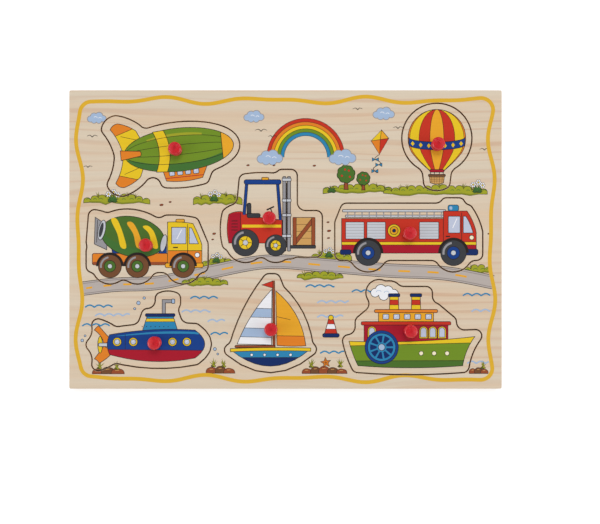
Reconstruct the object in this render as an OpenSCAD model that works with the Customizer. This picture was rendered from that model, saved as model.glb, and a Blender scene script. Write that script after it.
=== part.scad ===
// Wooden peg puzzle: a printed board with eight sawn-out picture pieces, each lifted by a small moulded knob.
// Origin at the middle of the underside, X along the long side, Y towards the top of the picture, Z up.

/* [Board] */
// Length of the board
board_w = 300; // [270:1:330]
// Depth of the board
board_d = 207; // [190:1:228]
// Radius of the four upright corners
board_corner_r = 1; // [0.5:0.5:6]
// Thickness of the front board, which the pieces are sawn out of
front_t = 5; // [5:0.5:8]
// Thickness of the backing board glued under it
backing_t = 3; // [2:0.5:5]
// How far the backing board stays inside the front board's edge
backing_inset = 0.3; // [0:0.1:1]

/* [Saw cut] */
// How far the cut runs outside the picture
cut_margin = 4; // [3:0.25:4.5]
// Width of the cut, which is the play between a piece and its recess
cut_gap = 0.8; // [0.4:0.1:1]
// Radius that the saw leaves in a piece's inside corners
cut_inside_r = 6; // [4:0.5:8]

/* [Pictures] */
// Width over depth of the whole print, which is scaled to fit the board
print_ratio = 1.449; // [1.4:0.001:1.5]
// Length of the airship's picture, as a share of the print's width
airship_w_share = 0.293; // [0.27:0.001:0.3]
// Width of the hot-air balloon's picture, as a share of the print's width
balloon_w_share = 0.133; // [0.12:0.001:0.14]
// Length of the cement mixer's picture, as a share of the print's width
mixer_w_share = 0.253; // [0.23:0.001:0.26]
// Length of the forklift's picture, as a share of the print's width
forklift_w_share = 0.207; // [0.19:0.001:0.21]
// Length of the fire engine's picture, as a share of the print's width
fire_engine_w_share = 0.313; // [0.29:0.001:0.32]
// Length of the submarine's picture, as a share of the print's width
submarine_w_share = 0.267; // [0.25:0.001:0.273]
// Width of the sailing boat's picture, as a share of the print's width
sailboat_w_share = 0.18; // [0.17:0.001:0.187]
// Length of the steamboat's picture, as a share of the print's width
steamboat_w_share = 0.293; // [0.27:0.001:0.3]

/* [Knob] */
// Diameter of the knob's head
head_d = 9.2; // [8.5:0.1:12]
// Height of the head's rounded rim
head_rim_t = 2.8; // [2.4:0.1:3.6]
// How far the head's top bulges above its rim
head_crown = 0.4; // [0.3:0.1:1]
// Diameter of the moulding's gate mark in the middle of the head
gate_d = 1.8; // [1.2:0.1:2.4]
// Depth of the gate mark
gate_depth = 0.3; // [0.2:0.05:0.4]
// Radius of the finger groove between head and foot
groove_r = 1.8; // [1.6:0.1:2.4]
// Diameter of the knob at its waist
waist_d = 5.4; // [5:0.1:6]
// Diameter of the foot that rests on the piece
foot_d = 8.4; // [7.5:0.1:10]
// Thickness of the foot
foot_t = 1.2; // [1:0.1:1.6]
// Diameter of the spigot that enters the piece
spigot_d = 4; // [3.6:0.1:4.4]
// Play between the spigot and its hole, on the radius
spigot_play = 0.05; // [0.03:0.01:0.1]
// Room left under the spigot's end
spigot_end_play = 0.2; // [0.1:0.05:0.3]
// Wood left between the spigot's hole and the screw's countersink
neck_t = 0.5; // [0.4:0.1:0.8]

/* [Screw] */
// Diameter of the screw's countersunk head
screw_head_d = 4.4; // [4:0.1:5]
// Thickness of the screw's head
screw_head_t = 1.3; // [1:0.1:1.5]
// Diameter of the screw's shank
screw_shank_d = 2; // [1.8:0.1:2.2]
// Plastic left between the end of the screw's hole and the knob's top
screw_cover_t = 3.5; // [2.5:0.1:4]
// How far the screw's head lies inside the piece's underside
screw_sunk = 0.2; // [0.1:0.05:0.3]
// Play between the screw and the wood, on the radius
screw_play = 0.1; // [0.05:0.01:0.2]
// How far the shank bites into the knob, on the radius
screw_bite = 0.05; // [0.02:0.01:0.1]
// Width of the driver's cross recess
cross_w = 0.6; // [0.5:0.05:0.8]
// Length of the cross recess
cross_len = 2.6; // [2:0.1:3]
// Depth of the cross recess
cross_depth = 0.7; // [0.5:0.05:0.9]

/* [Hidden] */
MOTIFS = ["airship", "balloon", "mixer", "forklift", "fire_engine", "submarine", "sailboat", "steamboat"];

// Where each knob stands, as shares of the board's length and depth
place_shares = [
  [-0.253, 0.300], [0.350, 0.316], [-0.320, -0.020], [-0.037, 0.070],
  [0.285, 0.019], [-0.300, -0.345], [-0.033, -0.300], [0.287, -0.306]
];
// How far each picture is turned, in degrees
tilts = [6, 0, 0, 0, 0, 0, 0, 0];

overrun = 1;
screw_point_len = 0.5;
round_fn = 48;
arc_fn = 32;
section_fn = 96;
bow_steps = 6;

top_z = backing_t + front_t;
print_w = min(board_w, board_d * print_ratio);
// The groove's round flows into the foot's round edge below it and into the head's above it
foot_edge_r = foot_t / 2;
head_rim_r = head_rim_t / 2;
foot_edge_x = foot_d / 2 - foot_edge_r;
head_rim_x = head_d / 2 - head_rim_r;
groove_x = waist_d / 2 + groove_r;
foot_edge_z = top_z + foot_edge_r;
groove_z = foot_edge_z + sqrt(pow(foot_edge_r + groove_r, 2) - pow(groove_x - foot_edge_x, 2));
head_rim_z = groove_z + sqrt(pow(head_rim_r + groove_r, 2) - pow(groove_x - head_rim_x, 2));
knob_top_z = head_rim_z + head_rim_r + head_crown;
screw_z = backing_t + screw_sunk;
spigot_z = screw_z + screw_head_t + neck_t + spigot_end_play;
// The screw ends one point's length before its hole does
pilot_end_z = knob_top_z - screw_cover_t;
screw_len = pilot_end_z - screw_point_len - screw_z;

function place(i) = [place_shares[i].x * board_w, place_shares[i].y * board_d];

// Points along a side from a to b that bows out to the right of its run, by a share of its length
function bow(a, b, rise_share) = [
  for (s = [0 : (rise_share == 0 ? 0 : bow_steps - 1)])
    let (t = s / bow_steps, run = b - a)
      a + run * t + 4 * t * (1 - t) * rise_share * [run.y, -run.x]
];

// An outline from its corners, counter-clockwise. A corner holds its place and the bow of its next side.
function outline(corners) = [
  for (i = [0 : len(corners) - 1])
    let (a = corners[i], b = corners[(i + 1) % len(corners)])
      each bow([a.x, a.y], [b.x, b.y], a.z)
];

// The pictures' silhouettes, drawn round their knobs. Their tables are shares of each picture's width.

airship_hull_shares = [0.432, 0.170];
airship_hull_x_share = 0.023;
airship_fin_shares = [
  [-0.26, 0.08, 0], [-0.30, 0.19, 0.06], [-0.45, 0.27, 0.15], [-0.52, 0.22, -0.06], [-0.44, 0, 0]
];
airship_cabin_shares = [[-0.13, -0.12, 0], [-0.10, -0.24, 0.04], [0.19, -0.24, 0], [0.25, -0.12, 0]];

module airship_shape() {
  w = airship_w_share * print_w;
  translate([airship_hull_x_share * w, 0])
    scale(airship_hull_shares * w)
      circle(r = 1);
  polygon(outline(airship_fin_shares) * w);
  mirror([0, 1])
    polygon(outline(airship_fin_shares) * w);
  polygon(outline(airship_cabin_shares) * w);
}

balloon_bag_r_share = 0.5;
balloon_bag_y_share = 0.12;
balloon_skirt_shares = [[-0.44, -0.12, -0.04], [-0.13, -0.46, 0], [0.13, -0.46, -0.04], [0.44, -0.12, 0]];
balloon_basket_shares = [[-0.15, -0.40, 0], [-0.12, -0.65, 0.12], [0.12, -0.65, 0], [0.15, -0.40, 0]];

module balloon_shape() {
  w = balloon_w_share * print_w;
  translate([0, balloon_bag_y_share * w])
    circle(r = balloon_bag_r_share * w);
  polygon(outline(balloon_skirt_shares) * w);
  polygon(outline(balloon_basket_shares) * w);
}

mixer_chassis_shares = [
  [-0.50, -0.19, 0], [0.50, -0.19, 0], [0.50, 0.01, 0], [0.42, 0.20, 0.03],
  [0.18, 0.22, 0], [0.16, -0.05, 0], [-0.50, -0.05, 0]
];
mixer_drum_shares = [0.30, 0.19];
mixer_drum_place_shares = [-0.13, 0.08];
mixer_drum_tilt = -12;
mixer_chute_shares = [[-0.50, 0.03, 0], [-0.36, 0.03, 0], [-0.34, 0.22, 0.05], [-0.48, 0.27, 0]];
mixer_wheel_shares = [[-0.34, -0.19], [-0.09, -0.19], [0.33, -0.19]];
mixer_wheel_r_share = 0.105;

module mixer_shape() {
  w = mixer_w_share * print_w;
  polygon(outline(mixer_chassis_shares) * w);
  translate(mixer_drum_place_shares * w)
    rotate(mixer_drum_tilt)
      scale(mixer_drum_shares * w)
        circle(r = 1);
  polygon(outline(mixer_chute_shares) * w);
  for (p = mixer_wheel_shares)
    translate(p * w)
      circle(r = mixer_wheel_r_share * w);
}

forklift_body_shares = [
  [-0.46, -0.28, 0], [0.15, -0.28, 0], [0.15, 0, 0], [0.11, 0.43, 0.04], [-0.27, 0.43, 0],
  [-0.30, 0.10, 0.10], [-0.46, 0.05, 0.06]
];
forklift_mast_shares = [[0.14, -0.38, 0], [0.24, -0.38, 0], [0.24, 0.48, 0], [0.14, 0.48, 0]];
forklift_load_shares = [[0.20, -0.36, 0], [0.52, -0.36, 0], [0.52, 0.02, 0], [0.20, 0.02, 0]];
forklift_wheel_shares = [[-0.27, -0.27], [0.07, -0.30]];
forklift_wheel_r_shares = [0.15, 0.12];

module forklift_shape() {
  w = forklift_w_share * print_w;
  polygon(outline(forklift_body_shares) * w);
  polygon(outline(forklift_mast_shares) * w);
  polygon(outline(forklift_load_shares) * w);
  for (k = [0 : len(forklift_wheel_shares) - 1])
    translate(forklift_wheel_shares[k] * w)
      circle(r = forklift_wheel_r_shares[k] * w);
}

fire_engine_body_shares = [
  [-0.50, -0.15, 0], [0.50, -0.15, 0], [0.50, 0.01, 0.05], [0.43, 0.17, 0], [0.38, 0.17, 0],
  [0.37, 0.22, 0], [0.28, 0.22, 0], [0.26, 0.18, 0], [-0.46, 0.18, 0], [-0.50, 0.08, 0]
];
fire_engine_wheel_shares = [[-0.30, -0.14], [0.33, -0.14]];
fire_engine_wheel_r_share = 0.095;

module fire_engine_shape() {
  w = fire_engine_w_share * print_w;
  polygon(outline(fire_engine_body_shares) * w);
  for (p = fire_engine_wheel_shares)
    translate(p * w)
      circle(r = fire_engine_wheel_r_share * w);
}

submarine_hull_shares = [[-0.40, -0.11, 0.06], [0.34, -0.14, 0.35], [0.34, 0.11, 0.03], [-0.40, 0.07, 0]];
submarine_tower_shares = [[-0.12, 0.10, 0], [0.20, 0.10, 0], [0.15, 0.24, 0], [-0.07, 0.24, 0]];
submarine_scope_shares = [
  [0.05, 0.22, 0], [0.09, 0.22, 0], [0.09, 0.34, 0], [0.16, 0.34, 0], [0.16, 0.38, 0.1], [0.05, 0.38, 0]
];
submarine_tail_shares = [
  [-0.55, -0.02, -0.12], [-0.50, -0.19, 0.06], [-0.34, -0.10, 0], [-0.34, 0.06, 0.06], [-0.50, 0.15, -0.12]
];

module submarine_shape() {
  w = submarine_w_share * print_w;
  polygon(outline(submarine_hull_shares) * w);
  polygon(outline(submarine_tower_shares) * w);
  polygon(outline(submarine_scope_shares) * w);
  polygon(outline(submarine_tail_shares) * w);
}

sailboat_hull_shares = [[-0.52, -0.27, 0.21], [0.50, -0.26, 0]];
sailboat_sails_shares = [
  [-0.46, -0.23, 0], [0.46, -0.23, 0.09], [0.09, 0.50, 0], [0.04, 0.63, 0], [-0.03, 0.63, 0.05]
];

module sailboat_shape() {
  w = sailboat_w_share * print_w;
  polygon(outline(sailboat_hull_shares) * w);
  polygon(outline(sailboat_sails_shares) * w);
}

steamboat_hull_shares = [[-0.48, -0.08, 0.03], [-0.41, -0.28, 0.02], [0.42, -0.28, -0.06], [0.52, -0.04, 0]];
steamboat_house_shares = [
  [-0.38, -0.10, 0], [0.32, -0.10, 0], [0.32, 0.07, 0], [0.20, 0.17, 0], [-0.26, 0.17, 0], [-0.38, 0.07, 0]
];
steamboat_funnel_shares = [[-0.17, 0.10, 0], [0.13, 0.10, 0], [0.13, 0.30, 0], [-0.17, 0.30, 0]];
steamboat_steam_shares = [[-0.16, 0.29], [-0.24, 0.30]];
steamboat_steam_r_share = 0.055;

module steamboat_shape() {
  w = steamboat_w_share * print_w;
  polygon(outline(steamboat_hull_shares) * w);
  polygon(outline(steamboat_house_shares) * w);
  polygon(outline(steamboat_funnel_shares) * w);
  for (p = steamboat_steam_shares)
    translate(p * w)
      circle(r = steamboat_steam_r_share * w);
}

module picture_shape(i) {
  if (MOTIFS[i] == "airship") airship_shape($fn = round_fn);
  if (MOTIFS[i] == "balloon") balloon_shape($fn = round_fn);
  if (MOTIFS[i] == "mixer") mixer_shape($fn = round_fn);
  if (MOTIFS[i] == "forklift") forklift_shape($fn = round_fn);
  if (MOTIFS[i] == "fire_engine") fire_engine_shape($fn = round_fn);
  if (MOTIFS[i] == "submarine") submarine_shape($fn = round_fn);
  if (MOTIFS[i] == "sailboat") sailboat_shape($fn = round_fn);
  if (MOTIFS[i] == "steamboat") steamboat_shape($fn = round_fn);
}

// The saw's line round a picture, with its inside corners rounded. Its width lies outside the piece.
module cut_line(i, cut_w) {
  translate(place(i))
    rotate(tilts[i])
      offset(r = cut_w - cut_inside_r, $fn = arc_fn)
        offset(r = cut_margin + cut_inside_r, $fn = arc_fn)
          picture_shape(i);
}

module board_outline(inset) {
  r = board_corner_r;
  w = board_w - 2 * inset;
  d = board_d - 2 * inset;
  square([w - 2 * r, d], center = true);
  square([w, d - 2 * r], center = true);
  for (sx = [-1, 1], sy = [-1, 1])
    translate([sx * (w / 2 - r), sy * (d / 2 - r)])
      circle(r = r, $fn = arc_fn);
}

module front_board() {
  color("burlywood")
    translate([0, 0, backing_t])
      linear_extrude(front_t)
        difference() {
          board_outline(0);
          for (i = [0 : len(MOTIFS) - 1])
            cut_line(i, cut_gap);
        }
}

module backing_board() {
  color("tan")
    linear_extrude(backing_t)
      board_outline(backing_inset);
}

// The hole for the knob's spigot from above, and the screw's way through with its countersink from below
module knob_hole() {
  sink_r = screw_head_d / 2 + screw_play;
  shank_r = screw_shank_d / 2 + screw_play;
  hole_z = spigot_z - spigot_end_play;
  translate([0, 0, hole_z])
    cylinder(d = spigot_d + 2 * spigot_play, h = top_z - hole_z + overrun, $fn = round_fn);
  translate([0, 0, backing_t - overrun])
    cylinder(r = shank_r, h = front_t, $fn = round_fn);
  translate([0, 0, backing_t - overrun])
    cylinder(r = sink_r, h = screw_sunk + overrun, $fn = round_fn);
  translate([0, 0, screw_z])
    cylinder(r1 = sink_r, r2 = shank_r, h = screw_head_t, $fn = round_fn);
}

module piece(i) {
  color("wheat")
    difference() {
      translate([0, 0, backing_t])
        linear_extrude(front_t)
          cut_line(i, 0);
      translate(place(i))
        knob_hole();
    }
}

// Half of the knob's section above the piece: foot, grooved waist and crowned head
module knob_section() {
  crown_r = (pow(head_rim_x, 2) + pow(head_crown, 2)) / (2 * head_crown);
  translate([0, top_z])
    square([foot_edge_x, foot_t]);
  translate([foot_edge_x, foot_edge_z])
    circle(r = foot_edge_r);
  difference() {
    polygon([
      [0, foot_edge_z], [foot_edge_x, foot_edge_z], [groove_x, groove_z],
      [head_rim_x, head_rim_z], [0, head_rim_z]
    ]);
    translate([groove_x, groove_z])
      circle(r = groove_r);
  }
  translate([0, head_rim_z - head_rim_r])
    square([head_rim_x, head_rim_t]);
  translate([head_rim_x, head_rim_z])
    circle(r = head_rim_r);
  intersection() {
    translate([0, knob_top_z - crown_r])
      circle(r = crown_r);
    translate([0, head_rim_z])
      square([head_rim_x, head_rim_t + head_crown]);
  }
}

module knob(i) {
  color("crimson")
    translate(place(i))
      difference() {
        union() {
          rotate_extrude($fn = round_fn)
            intersection() {
              knob_section($fn = section_fn);
              translate([0, top_z])
                square([head_d, knob_top_z]);
            }
          translate([0, 0, spigot_z])
            cylinder(d = spigot_d, h = foot_edge_z - spigot_z, $fn = round_fn);
        }
        translate([0, 0, knob_top_z - gate_depth])
          cylinder(d = gate_d, h = gate_depth + overrun, $fn = round_fn);
        translate([0, 0, spigot_z - overrun])
          cylinder(r = screw_shank_d / 2 - screw_bite, h = pilot_end_z - spigot_z + overrun, $fn = round_fn);
      }
}

module screw(i) {
  head_r = screw_head_d / 2;
  shank_r = screw_shank_d / 2;
  color("silver")
    translate(place(i))
      translate([0, 0, screw_z])
        difference() {
          union() {
            cylinder(r1 = head_r, r2 = shank_r, h = screw_head_t, $fn = round_fn);
            cylinder(r = shank_r, h = screw_len - screw_point_len, $fn = round_fn);
            translate([0, 0, screw_len - screw_point_len])
              cylinder(r1 = shank_r, r2 = shank_r - screw_point_len, h = screw_point_len, $fn = round_fn);
          }
          for (turn = [0, 90])
            rotate(turn)
              translate([-cross_len / 2, -cross_w / 2, -overrun])
                cube([cross_len, cross_w, cross_depth + overrun]);
        }
}

front_board();
backing_board();
for (i = [0 : len(MOTIFS) - 1]) {
  piece(i);
  knob(i);
  screw(i);
}
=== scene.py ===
"""A wooden peg puzzle seen from above: a printed board, eight sawn-out pieces and their red knobs."""
import math
import random

import bpy
import numpy as np
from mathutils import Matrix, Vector, geometry


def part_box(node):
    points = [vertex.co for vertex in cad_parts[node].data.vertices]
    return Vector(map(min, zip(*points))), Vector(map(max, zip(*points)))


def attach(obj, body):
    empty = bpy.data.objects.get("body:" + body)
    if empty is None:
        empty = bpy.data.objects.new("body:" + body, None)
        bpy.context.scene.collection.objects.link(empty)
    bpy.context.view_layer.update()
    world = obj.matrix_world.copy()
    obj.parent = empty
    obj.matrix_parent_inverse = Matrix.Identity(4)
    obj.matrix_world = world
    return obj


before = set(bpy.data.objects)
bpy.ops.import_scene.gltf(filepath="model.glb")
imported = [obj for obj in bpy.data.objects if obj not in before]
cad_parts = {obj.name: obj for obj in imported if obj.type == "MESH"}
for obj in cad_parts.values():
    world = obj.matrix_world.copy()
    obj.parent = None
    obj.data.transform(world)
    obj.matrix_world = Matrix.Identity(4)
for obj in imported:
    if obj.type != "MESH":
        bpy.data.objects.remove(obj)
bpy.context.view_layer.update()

MM = 0.001

board_low, board_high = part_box("front_board")
BOARD_W = (board_high.x - board_low.x) / MM
BOARD_D = (board_high.y - board_low.y) / MM
TOP_Z = board_high.z

# The photograph's frame, and the board's place in it
IMAGE_W_PX = 600
IMAGE_H_PX = 524
BOARD_W_PX = 432.5
BOARD_X_PX = 285.5
BOARD_Y_PX = 239.5

# The camera looks straight down. It stands this high over the print, a little below the board's middle
CAMERA_HEIGHT = 0.5
CAMERA_Y = -0.028
SENSOR_W = 36.0

WHITE = (1, 1, 1, 1)
FLOOR_HALF = 4.0
FLOOR_DROP = 0.2 * MM
FLOOR_GREY = (0.82, 0.82, 0.82, 1)
LIGHT_FROM_ABOVE = 0.5
LIGHT_FROM_BELOW = 0.85
KEY_PLACE = (0.2, 1.05, 1.7)
KEY_SIZE = 1.0
KEY_WATTS = 14.4
SIDE_PLACE = (1.25, -0.3, 0.6)
SIDE_SIZE = 0.7
SIDE_WATTS = 4.9


# Camera, stage and light

def with_settings(thing, **settings):
    for name, value in settings.items():
        setattr(thing, name, value)
    return thing


def new_object(name, data):
    made = bpy.data.objects.new(name, data)
    bpy.context.collection.objects.link(made)
    return made


def make_camera():
    """Frames the board as the photograph does, by a shift of the lens."""
    pixel = BOARD_W * MM / BOARD_W_PX
    view_w = IMAGE_W_PX * pixel
    view_x = (IMAGE_W_PX / 2 - BOARD_X_PX) * pixel
    view_y = (BOARD_Y_PX - IMAGE_H_PX / 2) * pixel
    data = bpy.data.cameras.new("camera")
    data.sensor_width = SENSOR_W
    data.lens = SENSOR_W * CAMERA_HEIGHT / view_w
    data.shift_y = (view_y - CAMERA_Y) / view_w
    camera = new_object("camera", data)
    camera.location = (view_x, CAMERA_Y, TOP_Z + CAMERA_HEIGHT)
    bpy.context.scene.camera = camera


def srgb(*levels):
    """A colour written as 0 to 255 levels, as Blender's linear values."""
    linear = []
    for level in levels:
        v = level / 255
        linear.append(v / 12.92 if v <= 0.04045 else ((v + 0.055) / 1.055) ** 2.4)
    return (*linear, 1.0)


class Tree:
    """Adds and joins shader nodes. Its methods return the new nodes' outputs."""

    def __init__(self, owner):
        self.nodes = owner.nodes
        self.links = owner.links

    def feed(self, node, values):
        """Sets a node's inputs to values, or joins them to other nodes' outputs."""
        for name, value in values.items():
            if isinstance(value, bpy.types.NodeSocket):
                self.links.new(value, node.inputs[name])
            else:
                node.inputs[name].default_value = value

    def add(self, kind, values=None, **settings):
        made = with_settings(self.nodes.new("ShaderNode" + kind), **settings)
        self.feed(made, values or {})
        return made.outputs

    def math(self, operation, *values):
        return self.add("Math", dict(enumerate(values)), operation=operation)[0]

    def times(self, a, b):
        return self.math("MULTIPLY", a, b)

    def mix(self, factor, a, b, blend="MIX"):
        return self.add("Mix", {0: factor, 6: a, 7: b}, data_type="RGBA", blend_type=blend)[2]

    def remap(self, value, low, high, to_low=0.0, to_high=1.0):
        return self.add("MapRange", {0: value, 1: low, 2: high, 3: to_low, 4: to_high})[0]

    def noise(self, place, stretch, detail=2.0, roughness=0.5):
        """Noise that changes about this many times a metre along x, y and z."""
        placed = self.add("VectorMath", {0: place, 1: stretch}, operation="MULTIPLY")[0]
        values = {"Vector": placed, "Scale": 1.0, "Detail": detail, "Roughness": roughness}
        return self.add("TexNoise", values)["Fac"]

    def shaded(self, colour, shade):
        """The colour times a grey shade."""
        return self.mix(1.0, colour, self.add("CombineColor", {0: shade, 1: shade, 2: shade})[0], "MULTIPLY")

    def bump(self, strength, height):
        return self.add("Bump", {"Strength": strength, "Distance": BUMP_DEPTH, "Height": height})[0]

    def seen_or_mirrored(self):
        """1 for what the camera sees straight, in a gloss or through glass."""
        path = self.add("LightPath")
        seen = self.math("MAXIMUM", path["Is Camera Ray"], path["Is Glossy Ray"])
        return self.math("MAXIMUM", seen, path["Is Transmission Ray"])

    def surface(self):
        """The place, the same as x, y and z, and a mask: 0 on level faces and 1 on sides."""
        coords = self.add("TexCoord")
        place = coords["Object"]
        normal = self.add("SeparateXYZ", {0: coords["Normal"]})
        upright = self.remap(self.math("ABSOLUTE", normal[2]), 0.9, 0.6)
        return place, self.add("SeparateXYZ", {0: place}), upright


def new_material(name):
    material = bpy.data.materials.new(name)
    material.use_nodes = True
    tree = Tree(material.node_tree)
    return material, tree, tree.nodes["Principled BSDF"]


def make_floor():
    """A white floor that keeps the shadow. It glows for the camera and in glosses, from above only."""
    mesh = bpy.data.meshes.new("floor")
    corners = [(x * FLOOR_HALF, y * FLOOR_HALF, -FLOOR_DROP) for x, y in ((-1, -1), (1, -1), (1, 1), (-1, 1))]
    mesh.from_pydata(corners, [], [(0, 1, 2, 3)])
    floor = new_object("floor", mesh)
    floor.visible_diffuse = False
    material, tree, shader = new_material("floor_white")
    tree.nodes.remove(shader)
    away = tree.add("VectorMath", {0: tree.add("TexCoord")["Object"]}, operation="LENGTH")["Value"]
    glow = tree.times(tree.seen_or_mirrored(), tree.remap(away, 0.35, 1.6, 0.45, 0.95))
    emission = tree.add("Emission", {"Color": WHITE, "Strength": glow})[0]
    diffuse = tree.add("BsdfDiffuse", {"Color": FLOOR_GREY})[0]
    white = tree.add("AddShader", {0: emission, 1: diffuse})[0]
    back = tree.add("NewGeometry")["Backfacing"]
    sided = tree.add("MixShader", {0: back, 1: white, 2: tree.add("BsdfTransparent")[0]})[0]
    tree.feed(tree.nodes["Material Output"], {"Surface": sided})
    mesh.materials.append(material)


def make_room():
    """White light from above and off a white floor. Glosses see bright sides and a dim overhead."""
    world = bpy.data.worlds.new("studio")
    bpy.context.scene.world = world
    world.use_nodes = True
    tree = Tree(world.node_tree)
    x, y, z = tree.add("SeparateXYZ", {0: tree.add("TexCoord")["Generated"]})
    light = tree.remap(z, -0.02, 0.02, LIGHT_FROM_BELOW, LIGHT_FROM_ABOVE)
    aside = tree.math("MAXIMUM", tree.math("ABSOLUTE", x), tree.times(y, -0.9))
    beside = tree.remap(aside, 0.3, 0.6, 0.12, 1.0)
    mirrored = tree.times(beside, tree.remap(z, 0.0, 0.3, 0.35, 1.0))
    level = tree.add("Mix", {0: tree.seen_or_mirrored(), 2: light, 3: mirrored})[0]
    strength = tree.math("MAXIMUM", level, tree.add("LightPath")["Is Camera Ray"])
    tree.feed(tree.nodes["Background"], {"Color": WHITE, "Strength": strength})


def area_light(name, place, size, watts, mirrored=True):
    """A square lamp that points at the board's middle."""
    data = bpy.data.lights.new(name, "AREA")
    light = new_object(name, with_settings(data, shape="SQUARE", size=size, energy=watts))
    light.location = place
    light.rotation_euler = (-Vector(place)).to_track_quat("-Z", "Y").to_euler()
    light.visible_glossy = mirrored


def make_lights():
    """The key lamp isn't mirrored, so the knobs show no square highlight."""
    x, y, z = SIDE_PLACE
    area_light("key", KEY_PLACE, KEY_SIZE, KEY_WATTS, mirrored=False)
    area_light("left", (-x, y, z), SIDE_SIZE, SIDE_WATTS)
    area_light("right", (x, y, z), SIDE_SIZE, SIDE_WATTS)
    bpy.context.scene.view_settings.view_transform = "Standard"


# Materials of the wood, the plastic and the steel

PALE_WOOD = srgb(220, 205, 183)
WARM_WOOD = srgb(220, 188, 154)
LATE_WOOD = srgb(201, 154, 120)
BURNT_TOP = srgb(142, 98, 64)
BURNT_DEEP = srgb(190, 144, 100)
BARELY_BURNT = srgb(206, 172, 134)
PLY_PALE = srgb(206, 180, 142)
PLY_DARK = srgb(160, 122, 84)
PLY_GLUE = srgb(104, 72, 46)
BIRCH_PALE = srgb(214, 190, 154)
BIRCH_WARM = srgb(193, 161, 120)
BIRCH_DARK = srgb(168, 132, 92)
KNOB_RED = srgb(212, 26, 38)
KNOB_DEEP_RED = srgb(196, 20, 34)
STEEL_DARK = (0.46, 0.45, 0.44, 1)
STEEL_PALE = (0.62, 0.61, 0.60, 1)

# The spacing of the late-wood lines, how far noise shifts them, and how far the grain bends to the side
RING_SPACING = 0.0068
RING_SHIFT = 15.0
GRAIN_BEND = 0.016
# The lowest and highest shade of the pine's grain
GRAIN_SHADES = (0.93, 1.05)
BUMP_DEPTH = 0.0002
PLIES = 3.0


def pine_group():
    """Soft grain along X as a colour and a shade: warm bands, thin late-wood lines and fine fibres."""
    group = bpy.data.node_groups.new("pine", "ShaderNodeTree")
    for name, kind in (("Color", "NodeSocketColor"), ("Grain", "NodeSocketFloat")):
        group.interface.new_socket(name, in_out="OUTPUT", socket_type=kind)
    tree = Tree(group)
    place = tree.add("TexCoord")["Object"]
    x, y, z = tree.add("SeparateXYZ", {0: place})
    bend = tree.math("SUBTRACT", tree.noise(place, (5, 18, 18)), 0.5)
    y = tree.math("ADD", y, tree.times(bend, GRAIN_BEND))
    bent = tree.add("CombineXYZ", {0: x, 1: y, 2: z})[0]
    broad = tree.noise(bent, (3, 75, 75), 3.0, 0.55)
    fine = tree.noise(bent, (11, 480, 480), 4.0, 0.6)
    fibre = tree.noise(bent, (60, 3200, 3200), 2.0, 0.6)
    patch = tree.noise(bent, (4, 14, 14), 1.0)
    turns = tree.times(y, 2 * math.pi / RING_SPACING)
    ring = tree.math("SINE", tree.math("ADD", turns, tree.times(broad, RING_SHIFT)))
    late = tree.times(tree.remap(ring, 0.55, 1.0), tree.remap(patch, 0.42, 0.72))
    colour = tree.mix(tree.remap(broad, 0.38, 0.72, 0.0, 0.62), PALE_WOOD, WARM_WOOD)
    colour = tree.mix(tree.times(late, 0.65), colour, LATE_WOOD)
    fine_shade = tree.remap(fine, 0.25, 0.75, 0.955, 1.035)
    shade = tree.times(fine_shade, tree.remap(fibre, 0.2, 0.8, 0.97, 1.03))
    tree.feed(tree.nodes.new("NodeGroupOutput"), {"Color": tree.shaded(colour, shade), "Grain": shade})
    return group


def wood_material(name, pine, low_z, high_z, outer):
    """Pine faces and burnt sawn walls. If outer is true, the board's outer sides show plies."""
    material, tree, shader = new_material(name)
    grain = tree.add("Group", node_tree=pine)
    place, (x, y, z), upright = tree.surface()
    streaks = tree.math("SUBTRACT", tree.noise(place, (900, 900, 60)), 0.5)
    depth = tree.math("ADD", tree.remap(z, high_z, low_z), tree.times(streaks, 0.5))
    burnt = tree.mix(tree.remap(depth, 0.0, 1.0), BURNT_TOP, BURNT_DEEP)
    spared = tree.remap(tree.noise(place, (55, 55, 55), 1.0), 0.45, 0.62, 0.0, 0.8)
    side = tree.mix(spared, burnt, BARELY_BURNT)
    if outer:
        past = [tree.math("GREATER_THAN", tree.math("ABSOLUTE", along), size / 2 * MM - MM)
                for along, size in ((x, BOARD_W), (y, BOARD_D))]
        side = tree.mix(tree.math("MAXIMUM", *past), side, ply_colour(tree, place, z, low_z, high_z))
    tree.feed(shader, {
        "Base Color": tree.mix(upright, grain["Color"], side),
        "Roughness": tree.remap(grain["Grain"], *GRAIN_SHADES, 0.52, 0.40),
        "Normal": tree.bump(0.25, grain["Grain"]),
    })
    return material


def ply_colour(tree, place, z, low_z, high_z):
    """Plies with thin dark glue lines and specks of end grain."""
    layer = tree.remap(z, low_z, high_z, 0.0, PLIES)
    fold = tree.math("PINGPONG", tree.math("ADD", layer, 0.5), 0.5)
    flecks = tree.noise(place, (260, 260, 2400), 3.0, 0.6)
    plies = tree.mix(tree.math("COMPARE", layer, PLIES / 2, 0.5), PLY_PALE, PLY_DARK)
    plies = tree.mix(tree.remap(flecks, 0.35, 0.75, 0.0, 0.45), plies, PLY_DARK)
    glue = tree.math("LESS_THAN", tree.math("SUBTRACT", 0.5, fold), 0.03)
    return tree.mix(tree.times(glue, 0.6), plies, PLY_GLUE)


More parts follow.
